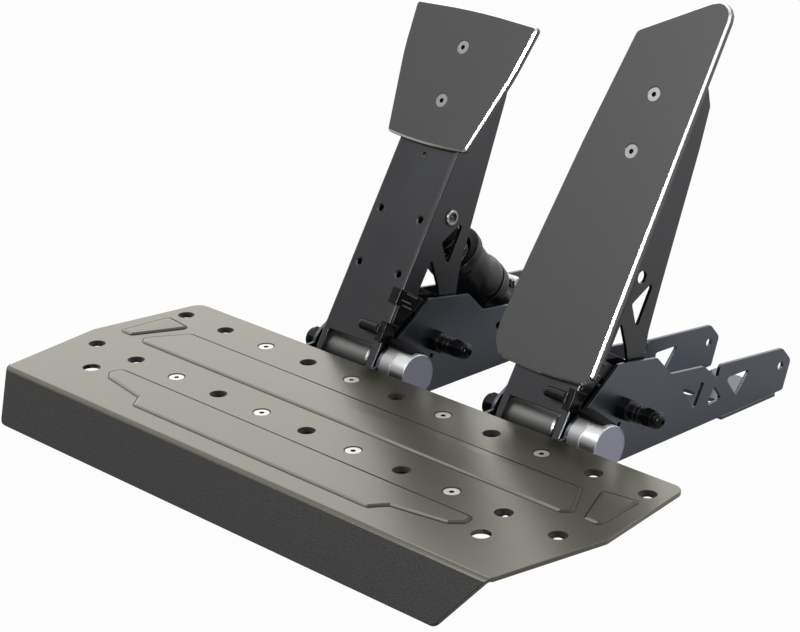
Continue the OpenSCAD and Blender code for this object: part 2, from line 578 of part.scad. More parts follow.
// Throttle's hidden return spring, and the controller
module return_spring() color([0.6, 0.6, 0.6]) translate([0, return_y, 0])
  coil(return_r, return_wire_r, return_curls, -base_drop + 0.05, return_top - 0.05);
module spring_bar() color([0.4, 0.4, 0.4]) {
  rod_x(-arm_in, arm_in, 3.5, return_y, bar_z);
  translate([0, return_y, return_top]) cylinder(r = 10, h = 1.6);
  box([-3.5, return_y - 3.5, return_top + 1], [3.5, return_y + 3.5, bar_z]);
}
module box_case() color([0.06, 0.06, 0.07]) difference() {
  box([-18, 53, -base_drop], [18, 95, -base_drop + 18]);
  box([-16.4, 54.6, -base_drop + 1.6], [16.4, 93.4, -base_drop + 16.4]);
  box([-5, 90, -base_drop + 5], [5, 100, -base_drop + 9]);
}

heel_plate();
heel_plate_screws();
heel_plate_nuts();
at_brake() mirror([1, 0, 0]) base_side();  // brake_side_plate_left
at_brake() base_side_right();  // brake_side_plate_right
at_brake() floor_plate(true);  // brake_floor_plate
at_brake() floor_screws();  // brake_floor_screws
at_brake() rest_bar();  // brake_rest_bar
at_brake() rest_bar_screws();  // brake_rest_bar_screws
at_brake() axle_bushings();  // brake_axle_bushings
at_brake() axle();  // brake_axle
at_brake() axle_sleeve();  // brake_axle_sleeve
at_brake() axle_nut();  // brake_axle_nut
at_brake() sensor_housing();  // brake_sensor_housing
at_brake() sensor_cap();  // brake_sensor_cap
at_brake() sensor_board();  // brake_sensor_board
at_brake() sensor_magnet();  // brake_sensor_magnet
at_brake() sensor_screws();  // brake_sensor_screws
at_brake() cable_gland();  // brake_cable_gland
at_brake() arm();  // brake_arm
brake_pedal_plate();
at_brake() pad_screws();  // brake_pedal_screws
at_brake() pad_nuts();  // brake_pedal_nuts
at_brake() edge_peg();  // brake_edge_peg
at_brake() edge_pad(3);  // brake_edge_pad
at_brake() damper_bolt();  // brake_damper_bolt
at_brake() damper_bolt_nut();  // brake_damper_bolt_nut
at_brake() damper_rod();  // brake_damper_rod
at_brake() damper_spring();  // brake_damper_spring
at_brake() damper_body();  // brake_damper_body
at_brake() damper_rubbers();  // brake_damper_rubbers
at_brake() damper_ring();  // brake_damper_ring
at_brake() load_cell();  // brake_load_cell
at_brake() load_cell_block();  // brake_load_cell_block
at_brake() damper_pin();  // brake_damper_pin
at_brake() damper_bracket();  // brake_damper_bracket
at_brake() bracket_screws();  // brake_bracket_screws
at_throttle() mirror([1, 0, 0]) base_side();  // throttle_side_plate_left
at_throttle() base_side_right();  // throttle_side_plate_right
at_throttle() floor_plate(false);  // throttle_floor_plate
at_throttle() floor_screws();  // throttle_floor_screws
at_throttle() rest_bar();  // throttle_rest_bar
at_throttle() rest_bar_screws();  // throttle_rest_bar_screws
at_throttle() axle_bushings();  // throttle_axle_bushings
at_throttle() axle();  // throttle_axle
at_throttle() axle_sleeve();  // throttle_axle_sleeve
at_throttle() axle_nut();  // throttle_axle_nut
at_throttle() sensor_housing();  // throttle_sensor_housing
at_throttle() sensor_cap();  // throttle_sensor_cap
at_throttle() sensor_board();  // throttle_sensor_board
at_throttle() sensor_magnet();  // throttle_sensor_magnet
at_throttle() sensor_screws();  // throttle_sensor_screws
at_throttle() cable_gland();  // throttle_cable_gland
at_throttle() arm();  // throttle_arm
throttle_pedal_plate();
at_throttle() { pad_screws(); pad_nuts(); }  // throttle_pedal_fasteners
at_throttle() { edge_peg(); edge_pad(0); }  // throttle_edge_grips
at_throttle() return_spring();  // throttle_return_spring
at_throttle() spring_bar();  // throttle_spring_bar
at_throttle() box_case();  // controller_box
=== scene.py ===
# %% [markdown]
# A sim racing pedal set: two sheet-metal pedal modules under one folded heel plate. The solids come
# from a packed CAD model, with real sizes and joints. This script dresses them: it rounds the edges
# that light catches, models the turned and moulded pieces finely, and gives every surface its finish.
# The CAD solids could be drawn again from nothing, but copies of them can't miss their joints.

import json
import math

import bpy
from mathutils import Matrix, Vector


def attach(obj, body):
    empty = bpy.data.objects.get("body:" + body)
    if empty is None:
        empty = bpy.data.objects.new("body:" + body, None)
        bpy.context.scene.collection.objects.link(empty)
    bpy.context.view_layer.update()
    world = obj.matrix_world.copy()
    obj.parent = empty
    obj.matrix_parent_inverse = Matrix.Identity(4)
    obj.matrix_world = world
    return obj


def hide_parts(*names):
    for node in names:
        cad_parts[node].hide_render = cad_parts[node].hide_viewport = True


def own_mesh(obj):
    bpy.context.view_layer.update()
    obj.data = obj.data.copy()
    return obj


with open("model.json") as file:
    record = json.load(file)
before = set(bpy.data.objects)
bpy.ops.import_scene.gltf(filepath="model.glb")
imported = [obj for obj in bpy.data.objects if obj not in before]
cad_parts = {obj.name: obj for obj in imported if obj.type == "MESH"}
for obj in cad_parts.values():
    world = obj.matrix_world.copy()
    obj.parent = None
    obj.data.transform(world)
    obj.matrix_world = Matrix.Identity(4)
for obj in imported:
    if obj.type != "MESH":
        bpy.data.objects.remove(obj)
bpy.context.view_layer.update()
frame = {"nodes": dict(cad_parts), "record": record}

# %% [markdown]
# The camera comes first. It could be set by eye, but a flat plate with rows of evenly spaced holes
# gives it exactly: its place was solved from them, so the render can be laid over the photograph.
# A long lens keeps the perspective flat.

# %% Camera at the photograph's viewpoint
CAMERA_PLACE = Vector((0.978556, -1.023004, 0.608709))
CAMERA_RIGHT = Vector((0.706171, 0.708028, 0.004322))
CAMERA_DOWN = Vector((0.251782, -0.245407, -0.936152))
CAMERA_FORWARD = Vector((-0.661761, 0.662172, -0.351568))
SENSOR_MM, LENS_MM = 36, 109.207

camera_data = bpy.data.cameras.new("camera")
camera_data.sensor_width = SENSOR_MM
camera_data.lens = LENS_MM
camera_data.clip_start = 0.05
camera = bpy.data.objects.new("camera", camera_data)
bpy.context.scene.collection.objects.link(camera)
turn = Matrix((CAMERA_RIGHT, -CAMERA_DOWN, -CAMERA_FORWARD)).transposed()
camera.matrix_world = Matrix.Translation(CAMERA_PLACE) @ turn.to_4x4()
bpy.context.scene.camera = camera
bpy.context.scene.view_settings.view_transform = "Standard"
print("camera", tuple(round(part, 3) for part in CAMERA_PLACE), "lens", LENS_MM)

# %% [markdown]
# Every finish is a tree of nodes. Trees could be wired socket by socket, but shader maths reads best
# as plain sums. One small class wraps a socket, so that + - * add Math nodes, and one method adds
# any other node.

# %% Shader maths
class Wire:
    """A shader socket that can be used in sums."""

    def __init__(self, tree, socket):
        self.tree, self.socket = tree, socket

    def sum_with(self, operation, other, swapped=False):
        pair = (other, self) if swapped else (self, other)
        inputs = {0: pair[0], 1: pair[1]}
        return Bench(self.tree).node("ShaderNodeMath", {"operation": operation}, inputs)

    def __add__(self, other):
        return self.sum_with("ADD", other)

    def __sub__(self, other):
        return self.sum_with("SUBTRACT", other)

    def __rsub__(self, other):
        return self.sum_with("SUBTRACT", other, True)

    def __mul__(self, other):
        return self.sum_with("MULTIPLY", other)

    __radd__ = __add__
    __rmul__ = __mul__


class Bench:
    """Adds nodes to one tree."""

    def __init__(self, tree):
        self.tree = tree

    def node(self, kind, settings=None, inputs=None, output=0):
        made = self.tree.nodes.new(kind)
        for name, value in (settings or {}).items():
            setattr(made, name, value)
        for name, value in (inputs or {}).items():
            self.feed(made.inputs[name], value)
        return Wire(self.tree, made.outputs[output])

    def feed(self, socket, value):
        if isinstance(value, Wire):
            self.tree.links.new(value.socket, socket)
        elif socket.type == "RGBA" and len(value) == 3:
            socket.default_value = (*value, 1)
        else:
            socket.default_value = value

    def noise(self, scale, detail=2.0, stretch=(1, 1, 1)):
        """Noise on Object coordinates, from 0 to 1; scale counts blobs per metre."""
        place = self.node("ShaderNodeTexCoord", output="Object")
        place = self.node("ShaderNodeMapping", inputs={"Vector": place, "Scale": stretch})
        inputs = {"Vector": place, "Scale": scale, "Detail": detail}
        return self.node("ShaderNodeTexNoise", inputs=inputs)

    def clamp(self, value, low, high):
        """Stretches low..high to 0..1 and cuts off what lies outside."""
        ends = {"Value": value, "From Min": low, "From Max": high}
        return self.node("ShaderNodeMapRange", inputs=ends)

    def between(self, value, start, full, fading, stop):
        """1 from full to fading, and 0 before start and after stop."""
        return self.clamp(value, start, full) * self.clamp(value, stop, fading)

    def mix(self, factor, first, second):
        return self.node("ShaderNodeMix", {"data_type": "RGBA"}, {0: factor, 6: first, 7: second}, 2)

    def bump(self, height, distance):
        return self.node("ShaderNodeBump", inputs={"Height": height, "Distance": distance})


def finish(name, **fixed):
    """A new material: its bench and its shader, with constants on the shader's own sockets."""
    material = bpy.data.materials.new(name)
    material.use_nodes = True
    bench = Bench(material.node_tree)
    shader = material.node_tree.nodes["Principled BSDF"]
    for socket, value in fixed.items():
        bench.feed(shader.inputs[socket.replace("_", " ")], value)
    return material, bench, shader


print("shader helpers", [name for name in vars(Bench) if not name.startswith("_")])

# %% [markdown]
# The folded parts carry a smooth dark finish that is nearly black by itself and takes its tone from
# what it mirrors. That is why it is set as a metal of low value, and why the roughness wanders a little
# and a fine speckle breaks up the reflections. The heel plate is a black coat with a strong gloss
# instead: looked at flatly it mirrors the sky, and from above it is dark.

# %% Coated sheets
def coated(name, colour, roughness, grain=0.00003, cloud=0.06, wander=0.10, **fixed):
    material, bench, shader = finish(name, **fixed)
    clouds = bench.noise(14, 3)
    speckle = bench.noise(1600, 1)
    deep = tuple(channel * (1 - cloud) for channel in colour)
    light = tuple(min(1.0, channel * (1 + cloud)) for channel in colour)
    shade = bench.clamp(clouds * 0.6 + speckle * 0.4, 0.35, 0.65)
    bench.feed(shader.inputs["Base Color"], bench.mix(shade, deep, light))
    bench.feed(shader.inputs["Roughness"], bench.noise(30, 2) * wander + (roughness - wander / 2))
    bench.feed(shader.inputs["Normal"], bench.bump(speckle, grain))
    return material


WARM = (1.0, 0.96, 0.79)
HEEL_COAT = coated("heel plate coat", (0.012, 0.011, 0.009), 0.24, grain=0.00006, wander=0.06,
                   IOR=1.68, Specular_Tint=WARM, Coat_Weight=1.0, Coat_Roughness=0.22,
                   Coat_IOR=1.72, Coat_Tint=WARM)
# A duller copy of the heel coat: painted shade on the front lip and the back slopes, with the lip's own
# coarser grain.
DULLED_SHADE_COAT = coated("heel lip coat dulled as shade", (0.011, 0.011, 0.0105), 0.42, grain=0.00014, wander=0.06,
                  IOR=1.55)
# Near-black painted shade for the feet of the fields and the sinks' cones.
PAINTED_SHADE_COAT = coated("painted shade at feet and sinks", (0.006, 0.005, 0.004), 0.45, Specular_IOR_Level=0.15)
BASE_COAT = coated("base coat", (0.145, 0.156, 0.178), 0.30, Metallic=1.0)
ARM_COAT = coated("arm coat", (0.086, 0.0875, 0.091), 0.32, Metallic=1.0)
PEDAL_COAT = coated("pedal plate coat", (0.070, 0.070, 0.069), 0.36, cloud=0.03)
# A real black coat for black parts, and also painted shade in the screw sockets.
BLACK_COAT_AND_SOCKET_SHADE = coated("black coat and socket shade", (0.005, 0.005, 0.006), 0.32, Specular_IOR_Level=0.25)
CAP_PAINT = coated("cap paint", (0.21, 0.21, 0.265), 0.45, cloud=0.02)
print("heel coat nodes", len(HEEL_COAT.node_tree.nodes))

# %% [markdown]
# Bare metal comes turned, plated or brushed. An anisotropic shader could draw the lathe's lines, but
# fine noise in roughness and bump also shows them close up. The lines run round the axis, so the
# noise is squeezed along the axis and left long around it.

# %% Metals
def metal(name, colour, roughness, stretch=(1, 1, 1), line=0.000004, scale=900, wear=0.14):
    material, bench, shader = finish(name, Metallic=1.0)
    lines = bench.noise(scale, 3, stretch)
    worn = bench.noise(60, 2)
    dull = tuple(channel * 0.86 for channel in colour)
    bench.feed(shader.inputs["Base Color"], bench.mix(worn, dull, colour))
    bench.feed(shader.inputs["Roughness"], lines * wear + (roughness - wear / 2))
    bench.feed(shader.inputs["Normal"], bench.bump(lines, line))
    return material


ACROSS = (6, 0.25, 0.25)
BRIGHT_STEEL = metal("bright steel", (0.80, 0.79, 0.76), 0.28)
SCREW_STEEL = metal("screw heads", (0.90, 0.88, 0.84), 0.34)
GREY_STEEL = metal("grey screws", (0.42, 0.42, 0.41), 0.35)
DARK_STEEL = metal("dark bolt", (0.10, 0.10, 0.105), 0.30)
BEVEL_METAL = metal("bare bevels", (0.95, 0.95, 0.94), 0.24)
TURNED_SILVER = metal("turned silver", (0.50, 0.50, 0.49), 0.48, ACROSS, 0.00004, 700)
POLISHED_SILVER = metal("polished silver", (0.74, 0.75, 0.76), 0.33, ACROSS, 0.000001, wear=0.05)
SLEEVE_METAL = metal("grey sleeve", (0.27, 0.27, 0.262), 0.58, ACROSS, 0.00003)
BRONZE = metal("bushing bronze", (0.45, 0.33, 0.17), 0.45, ACROSS)
SPRING_WIRE = metal("spring wire", (0.20, 0.20, 0.21), 0.20)
print("turned silver nodes", len(TURNED_SILVER.node_tree.nodes))

# %% [markdown]
# Glands, pegs, nuts and the damper's shell are moulded. Plastic and rubber are dark and simple, but
# not one flat value: the skin has a faint orange peel, and dust lightens and dulls it in clouds.

# %% Plastic, rubber and circuit board
def moulded(name, colour, roughness, peel=0.00002, scale=420, gloss=0.5):
    material, bench, shader = finish(name, Specular_IOR_Level=gloss)
    skin = bench.noise(scale, 2)
    dust = bench.clamp(bench.noise(38, 3), 0.45, 0.75)
    dusty = tuple(channel * 1.5 + 0.001 for channel in colour)
    bench.feed(shader.inputs["Base Color"], bench.mix(dust, colour, dusty))
    bench.feed(shader.inputs["Roughness"], dust * 0.12 + roughness)
    bench.feed(shader.inputs["Normal"], bench.bump(skin, peel))
    return material


BLACK_PLASTIC = moulded("black plastic", (0.003, 0.0032, 0.0035), 0.16, 0.00001, gloss=0.22)
SHELL_PLASTIC = moulded("damper shell", (0.003, 0.0035, 0.004), 0.30, 0.00001, gloss=0.42)
PEG_PLASTIC = moulded("peg gloss", (0.003, 0.003, 0.003), 0.12, 0.000004, gloss=0.4)
# A matte near-black for the pieces that stand for shade behind the sensor housings.
SHADE_PIECE_BLACK = moulded("black for painted shade", (0.002, 0.002, 0.002), 0.45, gloss=0.1)
# A lighter grey painted on the clip's ribs as a painted highlight.
RIB_HIGHLIGHT_GREY = moulded("ribs painted light", (0.07, 0.07, 0.072), 0.42)
RED_RUBBER = moulded("red rubber", (0.35, 0.05, 0.03), 0.5)
BOARD_GREEN = moulded("board lacquer", (0.02, 0.13, 0.05), 0.35)
print("finishes", len(bpy.data.materials))

# %% [markdown]
# A sheet-metal edge is never knife sharp. The CAD solids come in as loose triangles, so a copy is
# merged, its flat triangles are dissolved into whole faces, and the crisp edges get a small bevel.
# Weighted normals then keep the big flat faces flat, so that they mirror cleanly. A Bevel node in the
# shader would be quicker, but it leaves no edge in the mesh.

# %% Helpers for copies of CAD solids
MERGE_WITHIN = 0.000002
FLAT_WITHIN, SMOOTH_UNDER = math.radians(0.6), math.radians(32)


def pick(*things):
    bpy.ops.object.select_all(action="DESELECT")
    for thing in things:
        thing.select_set(True)
    bpy.context.view_layer.objects.active = things[0]


def dress(piece, body, material, *nodes, slot):
    """Gives a finished piece its finish and its body, and hides the CAD nodes it stands for."""
    piece.data.materials.clear()
    piece.data.materials.append(material)
    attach(piece, body)
    if nodes:
        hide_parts(*nodes)
    return piece


def merged_copy(node, name):
    """A copy of a CAD node whose triangles are merged into whole faces."""
    cad = frame["nodes"][node]
    piece = bpy.data.objects.new(name, cad.data.copy())
    bpy.context.scene.collection.objects.link(piece)
    pick(piece)
    bpy.ops.object.mode_set(mode="EDIT")
    bpy.ops.mesh.select_all(action="SELECT")
    bpy.ops.mesh.remove_doubles(threshold=MERGE_WITHIN)
    bpy.ops.mesh.dissolve_limited(angle_limit=FLAT_WITHIN)
    bpy.ops.object.mode_set(mode="OBJECT")
    return piece


def apply_modifier(piece, kind, **settings):
    pick(piece)
    modifier = piece.modifiers.new(kind.lower(), kind)
    for name, value in settings.items():
        setattr(modifier, name, value)
    bpy.ops.object.modifier_apply(modifier=modifier.name)


def round_edges(piece, width, segments=2, sharp=35):
    """Bevels every edge that turns by more than sharp degrees; the width is in metres."""
    pick(piece)
    bpy.ops.object.mode_set(mode="EDIT")
    bpy.ops.mesh.select_mode(type="EDGE")
    bpy.ops.mesh.select_all(action="DESELECT")
    bpy.ops.mesh.edges_select_sharp(sharpness=math.radians(sharp))
    bpy.ops.mesh.bevel(offset=width, segments=segments, profile=0.5, clamp_overlap=False)
    bpy.ops.object.mode_set(mode="OBJECT")
    bpy.ops.object.shade_smooth_by_angle(angle=SMOOTH_UNDER)
    apply_modifier(piece, "WEIGHTED_NORMAL", keep_sharp=True, weight=90)


def body_of(node):
    return next(body for body, names in frame["record"]["behaviour"]["bodies"].items() if node in names)


SLOT_OF = {entry["node"]: entry["material_slot"] for entry in frame["record"]["subparts"]}


def softened(node, material, width, segments=2):
    """A copy of a node with rounded edges and a finish, in the node's place."""
    piece = merged_copy(node, node + "_finished")
    round_edges(piece, width, segments)
    return dress(piece, body_of(node), material, node, slot=SLOT_OF[node])


print("nodes to dress", len(SLOT_OF))

# %% [markdown]
# Many pieces carry two finishes: a screw has a dark socket, a pedal plate a bare edge. Each could be
# cut into two objects, but one mesh can hold both. Its faces and edges are chosen by their place.

# %% Helpers that choose faces and edges
def paint(piece, material, chosen):
    """A second finish on the faces whose centre, in metres, is chosen."""
    paint_faces(piece, material, lambda face: chosen(face.center))


def paint_faces(piece, material, chosen):
    piece.data.materials.append(material)
    number = len(piece.data.materials) - 1
    for face in piece.data.polygons:
        if chosen(face):
            face.material_index = number


def choose(piece, mode, chosen):
    """Leaves a piece in edit mode with the chosen vertices, edges or faces selected."""
    pick(piece)
    bpy.ops.object.mode_set(mode="EDIT")
    bpy.ops.mesh.select_mode(type=mode)
    bpy.ops.mesh.select_all(action="DESELECT")
    bpy.ops.object.mode_set(mode="OBJECT")
    mesh = piece.data
    for part in {"VERT": mesh.vertices, "EDGE": mesh.edges, "FACE": mesh.polygons}[mode]:
        part.select = chosen(part)
    bpy.ops.object.mode_set(mode="EDIT")


print("the heel plate's CAD faces", len(frame["nodes"]["heel_plate"].data.polygons))

# %% [markdown]
# The drawing of the set counts in millimetres from the heel plate's front hole row, with y backwards
# and z up from the plate's top. New pieces could be placed by hand with location and rotation, but
# four small frames turn the drawing's numbers into places in the scene: upright, across an axle,
# along a leaning arm, and down the damper. Each maps a piece's own z to its long axis.

# %% Frames of the drawing
MM = 0.001
# The scene's origin lies this far behind the drawing's, and this far below it.
ORIGIN_Y, GROUND = 122.14, 36.5
# How far the arms lean back from upright, and how far the damper dips below level.
LEAN, DIP = math.radians(31.4), math.radians(51.4)
# The middle of each module, sideways.
MODULES = {"brake": -80.0, "throttle": 80.0}
# The axles' y and z, and the y where an arm's front face meets the level of the plate.
PIVOT, ARM_FOOT = (120.9, -7.0), 109.0
# A pedal plate's thickness, and how far up the arm its two screws sit.
PAD_THICK, PLATE_SCREWS = 4.5, (172.8, 210.2)
# The y and z of the bolt that the brake arm pushes the damper with.
CROSS_BOLT = (178.6561, 79.5633)


def frame_at(x, y, z, along, side, up):
    """A frame in millimetres at a place of the drawing, from the directions of its three axes."""
    turn = Matrix((along, side, up)).transposed().to_4x4()
    return Matrix.Translation(Vector((x, y - ORIGIN_Y, z + GROUND)) * MM) @ turn @ Matrix.Scale(MM, 4)


def upright(x, y, z):
    return frame_at(x, y, z, (1, 0, 0), (0, 1, 0), (0, 0, 1))


def across(x, y, z):
    return frame_at(x, y, z, (0, 1, 0), (0, 0, 1), (1, 0, 0))


def arm_frame(x):
    back, up = (0, math.cos(LEAN), -math.sin(LEAN)), (0, math.sin(LEAN), math.cos(LEAN))
    return frame_at(x, ARM_FOOT, 0, (1, 0, 0), back, up)


def damper_frame():
    side, down = (0, -math.sin(DIP), -math.cos(DIP)), (0, math.cos(DIP), -math.sin(DIP))
    return frame_at(MODULES["brake"], *CROSS_BOLT, (1, 0, 0), side, down)


def placed(piece, place):
    """Bakes a frame into the mesh, so that the finished object sits at the origin."""
    piece.data.transform(place)
    piece.data.update()
    return piece


print("brake axle at", [round(part, 5) for part in across(MODULES["brake"], *PIVOT).translation])

# %% [markdown]
# Sleeves, housings, glands and bolts are round. Spin could sweep an outline round an axis, but a disc
# that is extruded step by step and scaled at each step closes both ends by itself, as work on a lathe
# does. Steps that go back down cut a recess into the end.

# %% Turning
SAME_SPOT = 0.0001


def turned(name, profile, place, sides=48):
    """profile lists the height and the radius of each step, in millimetres."""
    (height, radius), steps = profile[0], profile[1:]
    bpy.ops.object.select_all(action="DESELECT")
    bpy.ops.mesh.primitive_circle_add(vertices=sides, radius=radius, fill_type="NGON")
    piece = bpy.context.object
    piece.name = name
    bpy.ops.object.mode_set(mode="EDIT")
    bpy.ops.mesh.select_all(action="SELECT")
    bpy.ops.transform.translate(value=(0, 0, height))
    for next_height, next_radius in steps:
        rise = next_height - height
        bpy.ops.mesh.extrude_region_move(TRANSFORM_OT_translate={"value": (0, 0, rise)})
        ratio = next_radius / radius
        bpy.ops.transform.resize(value=(ratio, ratio, 1), center_override=(0, 0, next_height))
        height, radius = next_height, next_radius
    bpy.ops.mesh.select_all(action="SELECT")
    bpy.ops.mesh.remove_doubles(threshold=SAME_SPOT)
    bpy.ops.mesh.normals_make_consistent(inside=False)
    bpy.ops.object.mode_set(mode="OBJECT")
    return placed(piece, place)


def joined(name, *pieces):
    pick(*pieces)
    bpy.ops.object.join()
    bpy.context.object.name = name
    return bpy.context.object


print("turning helpers ready")

# %% [markdown]
# Side plates, floors and arms are laser-cut and folded from sheet. They could be folded again here
# from flat outlines, but the CAD has every bend and cut-out, so copies only lose their sharp edges.
# Laser-cut edges stay crisp, so their rounding is slight.

# %% Folded sheets
CUT_EDGE, FLOOR_EDGE, FOLDED_EDGE = 0.00035, 0.0003, 0.0004
SIDES = [module + "_side_plate_" + side for module in MODULES for side in ("left", "right")]
SHEETS = [(node, BASE_COAT, CUT_EDGE) for node in SIDES]
SHEETS += [(module + "_floor_plate", BASE_COAT, FLOOR_EDGE) for module in MODULES]
SHEETS += [(module + "_arm", ARM_COAT, FOLDED_EDGE) for module in MODULES]
SHEETS += [("brake_damper_bracket", BLACK_COAT_AND_SOCKET_SHADE, FOLDED_EDGE)]
for node, material, width in SHEETS:
    softened(node, material, width)
print("sheets", len(SHEETS))

# %% [markdown]
# The heel plate has two rows of countersunk holes, and the screws' heads fill them to the rim. The
# CAD keeps both a little small, so that they never touch. Scaling a whole screw would also change its
# shank: only the ring of vertices at the rim is widened, round its own hole's centre.

# %% The heel plate's holes
PLATE_TOP, FIELD_TOP = GROUND * MM, (GROUND + 1) * MM
HOLE_PITCH, ROW_GAP, FRONT_BEND = 40.0, 75.6, 65.6
SINK_EDGE, SINK_WIDE = 5.05, 5.6
ON_RIM, ON_LEVEL = 0.06, 0.0001
HOLES = [((i * HOLE_PITCH) * MM, (j * ROW_GAP - ORIGIN_Y) * MM) for i in range(-5, 6) for j in (0, 1)]


def from_hole(place):
    """The nearest screw hole's centre and its distance in millimetres."""
    hole = min(HOLES, key=lambda spot: math.hypot(place.x - spot[0], place.y - spot[1]))
    return hole, math.hypot(place.x - hole[0], place.y - hole[1]) / MM


def widened(piece, edge, wide, level):
    """Moves the rims at one level from radius edge out to radius wide, each round its own hole."""
    for vertex in piece.data.vertices:
        (x, y), reach = from_hole(vertex.co)
        if abs(reach - edge) < ON_RIM and abs(vertex.co.z - level) < ON_LEVEL:
            grow = wide / reach
            vertex.co.x, vertex.co.y = x + (vertex.co.x - x) * grow, y + (vertex.co.y - y) * grow


heel = merged_copy("heel_plate", "heel_plate_finished")
widened(heel, SINK_EDGE, SINK_WIDE, PLATE_TOP)
dress(heel, "base", HEEL_COAT, "heel_plate", slot=SLOT_OF["heel_plate"])
print("heel plate holes", len(HOLES))

# %% [markdown]
# Raised fields are pressed into the plate. A press leaves slopes, not walls. A bump map could fake
# them, but light and outline only follow real faces: each field's top edge is bevelled, and the foot
# of what is left of its wall is moved outwards.

# %% The heel plate's pressed fields
FIELD_BEVEL, FOOT_BAND, FOOT_REACH, SLOPE = 0.0008, 0.0004, 0.0016, 0.0014
HEEL_EDGE, LEVEL = 0.0004, 0.00002


def on_field(vertex):
    return abs(heel.data.vertices[vertex].co.z - FIELD_TOP) < LEVEL


choose(heel, "EDGE", lambda edge: all(on_field(vertex) for vertex in edge.vertices))
bpy.ops.mesh.bevel(offset=FIELD_BEVEL, segments=1, clamp_overlap=False)
bpy.ops.object.mode_set(mode="OBJECT")
field_rim = [vertex.co.copy() for vertex in heel.data.vertices if vertex.co.z > FIELD_TOP - LEVEL]
for vertex in heel.data.vertices:
    if PLATE_TOP - LEVEL < vertex.co.z < PLATE_TOP + FOOT_BAND:
        rim = min(field_rim, key=lambda place: (place - vertex.co).length)
        away = Vector((vertex.co.x - rim.x, vertex.co.y - rim.y, 0))
        if away.length < FOOT_REACH:
            vertex.co += away.normalized() * SLOPE
round_edges(heel, HEEL_EDGE, 2, sharp=50)
print("heel plate faces", len(heel.data.polygons), "rim points", len(field_rim))

# %% [markdown]
# Shade is painted into the heel plate's own faces. The feet of the fields that face forwards or to the right,
# and the cones of the open sinks, get a near-black coat as painted shade. The slopes that face backwards and
# the front lip get a duller copy of the coat, without its clear coat, which darkens them as painted shade;
# its coarser grain is the lip's own. A texture could be painted for that, but the faces are already there.

# %% The heel plate's second finishes
FOOT_FROM, FOOT_TO = PLATE_TOP + 0.00004, PLATE_TOP + 0.00022
SLOPE_TO, CONE_TOP = FIELD_TOP - 0.0001, PLATE_TOP - 0.0001
LIP_FROM = (-FRONT_BEND - ORIGIN_Y - 1.8) * MM


def shaded_foot(face):
    return FOOT_FROM < face.center.z < FOOT_TO and (face.normal.x > 0.02 or face.normal.y < 0.03)


def far_slope(face):
    return FOOT_TO < face.center.z < SLOPE_TO and max(face.normal.x, face.normal.y) > 0.15


# Painted shade: the feet that face forwards or to the right are painted near-black.
paint_faces(heel, PAINTED_SHADE_COAT, shaded_foot)
# Painted shade: the back slopes and the front lip get the duller coat, which darkens them.
paint_faces(heel, DULLED_SHADE_COAT, far_slope)
paint(heel, DULLED_SHADE_COAT, lambda centre: centre.y < LIP_FROM)
# Painted shade: the open sinks' cones are painted near-black.
paint(heel, PAINTED_SHADE_COAT, lambda centre: centre.z < CONE_TOP and from_hole(centre)[1] < SINK_WIDE)
print("heel plate finishes", [material.name for material in heel.data.materials])

# %% [markdown]
# Eight screws hold the heel plate. Their heads are small, but their dark sockets are what the eye
# finds first. The sockets are real recesses in the CAD. The faces inside each one are picked by their
# distance from the screw's axis and painted black: painted shade in the recess.

# %% The heel plate's screws
HEAD_EDGE, HEAD_WIDE, HEAD_ROUND = 4.6, 5.1, 0.00012
SOCKET = 1.75


def near_axis(spots, reach, low, high, place):
    """Chooses faces whose centre lies within reach of one of the spots (x, y) and between two heights."""
    back = place.inverted()

    def chosen(centre):
        x, y, z = back @ centre
        return low < z < high and any(math.hypot(x - a, y - b) < reach for a, b in spots)
    return chosen


HEEL_SPOTS = [(x + side, y) for x in MODULES.values() for side in (-HOLE_PITCH, HOLE_PITCH)
              for y in (0, ROW_GAP)]
screws = merged_copy("heel_plate_screws", "heel_plate_screws_finished")
widened(screws, HEAD_EDGE, HEAD_WIDE, max(vertex.co.z for vertex in screws.data.vertices))
round_edges(screws, HEAD_ROUND, 2)
dress(screws, "base", SCREW_STEEL, "heel_plate_screws", slot=SLOT_OF["heel_plate_screws"])
# Painted shade: each socket's faces are painted black.
paint(screws, BLACK_COAT_AND_SOCKET_SHADE, near_axis(HEEL_SPOTS, SOCKET, -2.3, -0.5, upright(0, 0, 0)))
print("heel plate screws", len(HEEL_SPOTS))

# %% [markdown]
# Two greyer screws hold each pedal plate. They are treated the same way. Only the frame differs, in
# which their sockets are looked for: it leans back with the arm and looks out of its front.

# %% The pedal plates' screws
for node, module in (("brake_pedal_screws", "brake"), ("throttle_pedal_fasteners", "throttle")):
    screws = softened(node, GREY_STEEL, 0.00015)
    outwards = frame_at(MODULES[module], ARM_FOOT, 0, (1, 0, 0), (0, math.sin(LEAN), math.cos(LEAN)),
                        (0, -math.cos(LEAN), math.sin(LEAN)))
    # Painted shade: the sockets are painted black.
    paint(screws, BLACK_COAT_AND_SOCKET_SHADE, near_axis([(0, s) for s in PLATE_SCREWS], SOCKET, 1.8, PAD_THICK - 0.5,
                                        outwards))
    print(node, "faces", len(screws.data.polygons))

# %% [markdown]
# One cross bolt carries the damper's upper eye. Its domed head shows a lighter ring round a dark
# recess. It is turned, and the ring's faces are painted a lighter steel by their height on the bolt.

